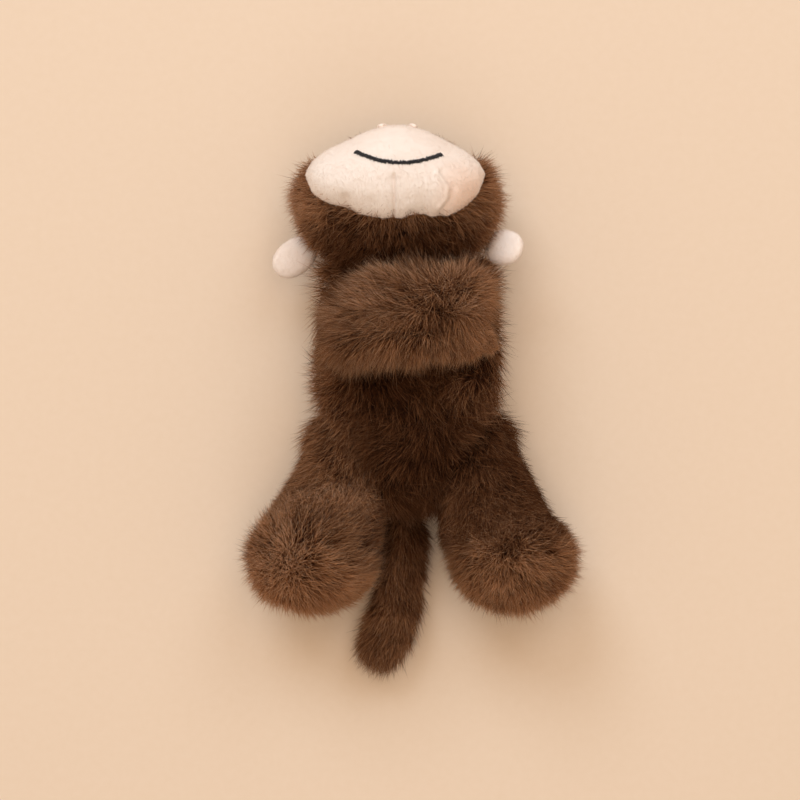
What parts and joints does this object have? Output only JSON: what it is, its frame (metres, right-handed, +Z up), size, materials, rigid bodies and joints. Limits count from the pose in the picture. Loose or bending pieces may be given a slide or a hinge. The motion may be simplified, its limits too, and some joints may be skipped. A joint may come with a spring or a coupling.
{
  "type": "plush monkey",
  "caption": "Soft long-pile toy monkey lying on its back, arms folded over its chest, with a pale stuffed muzzle, ears, upturned feet and a tail that swing at sewn joints",
  "frame": {"origin": "middle of the flat patch of the back that the torso lies on", "axes": "+Z up from the ground the toy lies on; +Y from tail to head; +X toward the toy's own left"},
  "size_m": [0.1781, 0.2963, 0.0995],
  "materials": {
    "fur": "matte",
    "short_pile": "matte",
    "fibre": "matte",
    "dark_thread": "satin",
    "tan_thread": "satin",
    "eye_plastic": "gloss",
    "washer_plastic": "matte"
  },
  "bodies": {
    "torso": {"torso_front_panel": "fur", "torso_back_panel": "fur", "torso_stuffing": "fibre"},
    "head": {"head_front_panel": "fur", "head_back_panel": "fur", "head_stuffing": "fibre", "muzzle_lower_panel": "short_pile", "muzzle_upper_panel": "short_pile", "muzzle_stuffing": "fibre", "mouth_stitching": "dark_thread", "left_nostril_stitching": "tan_thread", "right_nostril_stitching": "tan_thread", "left_eye": "eye_plastic", "right_eye": "eye_plastic", "left_eye_washer": "washer_plastic", "right_eye_washer": "washer_plastic"},
    "left_ear": {"left_ear_front_panel": "short_pile", "left_ear_back_panel": "short_pile"},
    "right_ear": {"right_ear_front_panel": "short_pile", "right_ear_back_panel": "short_pile"},
    "left_arm": {"left_arm_upper_panel": "fur", "left_arm_lower_panel": "fur", "left_arm_stuffing": "fibre"},
    "right_arm": {"right_arm_upper_panel": "fur", "right_arm_lower_panel": "fur", "right_arm_stuffing": "fibre"},
    "left_leg": {"left_leg_outer_panel": "fur", "left_leg_inner_panel": "fur", "left_leg_stuffing": "fibre"},
    "right_leg": {"right_leg_outer_panel": "fur", "right_leg_inner_panel": "fur", "right_leg_stuffing": "fibre"},
    "tail": {"tail_upper_panel": "fur", "tail_lower_panel": "fur", "tail_stuffing": "fibre"}
  },
  "joints": [
    {"name": "neck_nod", "type": "hinge", "parent": "torso", "child": "head", "pos_m": [-0.007, 0.077, 0.04367], "axis": [1, 0, 0], "range_deg": [-10, 10]},
    {"name": "left_shoulder_swing", "type": "hinge", "parent": "torso", "child": "left_arm", "pos_m": [0.034, 0.0194, 0.05589], "axis": [0, 1, 0], "range_deg": [0, 110]},
    {"name": "right_shoulder_swing", "type": "hinge", "parent": "torso", "child": "right_arm", "pos_m": [-0.034, 0.046, 0.05408], "axis": [0, -1, 0], "range_deg": [0, 110]},
    {"name": "left_hip_lift", "type": "hinge", "parent": "torso", "child": "left_leg", "pos_m": [0.034, -0.035, 0.025], "axis": [-1, 0, 0], "range_deg": [0, 30]},
    {"name": "right_hip_lift", "type": "hinge", "parent": "torso", "child": "right_leg", "pos_m": [-0.034, -0.035, 0.025], "axis": [-1, 0, 0], "range_deg": [0, 30]},
    {"name": "tail_lift", "type": "hinge", "parent": "torso", "child": "tail", "pos_m": [-0.005, -0.065, 0.0115], "axis": [-1, 0, 0], "range_deg": [0, 30]},
    {"name": "left_ear_flop", "type": "hinge", "parent": "head", "child": "left_ear", "pos_m": [0.04284, 0.07704, 0.04485], "axis": [-0.3858, -0.9225, 0.011], "range_deg": [-25, 3]},
    {"name": "right_ear_flop", "type": "hinge", "parent": "head", "child": "right_ear", "pos_m": [-0.05343, 0.07799, 0.03202], "axis": [-0.6129, 0.7779, 0.139], "range_deg": [-20, 10]}
  ]
}
